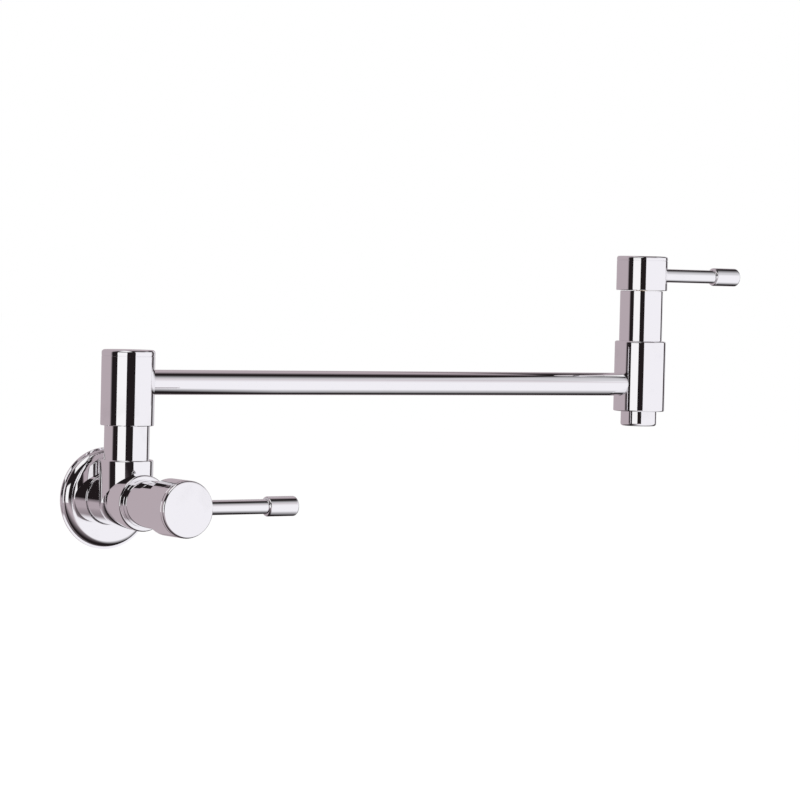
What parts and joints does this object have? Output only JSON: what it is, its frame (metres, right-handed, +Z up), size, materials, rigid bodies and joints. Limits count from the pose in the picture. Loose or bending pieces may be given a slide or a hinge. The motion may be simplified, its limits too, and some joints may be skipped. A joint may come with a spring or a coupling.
{
  "type": "wall mounted pot filler",
  "caption": "Wall mounted pot filler tap with a straight swinging arm, a shut-off lever valve at the wall and a lever valve over the outlet, polished chrome.",
  "frame": {"origin": "centre of the inlet thread in the plane of the finished wall", "axes": "+Z up, -Y away from the wall, +X along the parked arm"},
  "size_m": [0.5253, 0.108, 0.1981],
  "materials": {
    "polished_chrome": "mirror polished chrome plate on brass",
    "machined_brass": "turned brass",
    "ceramic_white": "lapped ceramic",
    "stainless_steel": "bright stainless steel",
    "bearing_plastic": "natural acetal",
    "foam_black": "closed-cell foam",
    "seal_rubber": "moulded rubber"
  },
  "bodies": {
    "wall_valve": {"wall_valve_body": "polished_chrome", "wall_flange": "polished_chrome", "flange_gasket": "foam_black", "flange_o_ring": "seal_rubber", "swivel_column": "polished_chrome", "column_seal": "seal_rubber", "swivel_o_rings": "seal_rubber", "lower_thrust_washer": "bearing_plastic", "keeper_washer": "stainless_steel", "keeper_screw": "stainless_steel", "wall_cartridge_housing": "machined_brass", "wall_seat_seal": "seal_rubber", "wall_fixed_disc": "ceramic_white", "wall_collar_gasket": "seal_rubber", "wall_bonnet": "polished_chrome", "wall_bonnet_bush": "bearing_plastic"},
    "arm": {"swivel_sleeve": "polished_chrome", "upper_thrust_washer": "bearing_plastic", "sleeve_cap": "polished_chrome", "arm_tube": "polished_chrome", "outlet_valve_body": "polished_chrome", "aerator_housing": "polished_chrome", "aerator_insert": "bearing_plastic", "aerator_screen": "stainless_steel", "aerator_washer": "seal_rubber", "outlet_cartridge_housing": "machined_brass", "outlet_seat_seal": "seal_rubber", "outlet_fixed_disc": "ceramic_white", "outlet_collar_gasket": "seal_rubber", "outlet_bonnet": "polished_chrome", "outlet_bonnet_bush": "bearing_plastic"},
    "wall_handle": {"wall_rotating_disc": "ceramic_white", "wall_spindle": "machined_brass", "wall_spindle_o_rings": "seal_rubber", "wall_spindle_clip": "stainless_steel", "wall_hub": "polished_chrome", "wall_hub_screw": "stainless_steel", "wall_hub_cap": "polished_chrome", "wall_lever_rod": "polished_chrome", "wall_lever_grip": "polished_chrome"},
    "outlet_handle": {"outlet_rotating_disc": "ceramic_white", "outlet_spindle": "machined_brass", "outlet_spindle_o_rings": "seal_rubber", "outlet_spindle_clip": "stainless_steel", "outlet_hub": "polished_chrome", "outlet_hub_screw": "stainless_steel", "outlet_hub_cap": "polished_chrome", "outlet_lever_rod": "polished_chrome", "outlet_lever_grip": "polished_chrome"}
  },
  "joints": [
    {"name": "arm_swivel", "type": "hinge", "parent": "wall_valve", "child": "arm", "pos_m": [0, -0.027, 0.0754], "axis": [0, 0, 1], "range_deg": [-180, 0]},
    {"name": "wall_handle_turn", "type": "hinge", "parent": "wall_valve", "child": "wall_handle", "pos_m": [0, -0.0948, 0], "axis": [0, 1, 0], "range_deg": [0, 90]},
    {"name": "outlet_handle_turn", "type": "hinge", "parent": "arm", "child": "outlet_handle", "pos_m": [0.408, -0.027, 0.1522], "axis": [0, 0, 1], "range_deg": [-90, 0]}
  ]
}
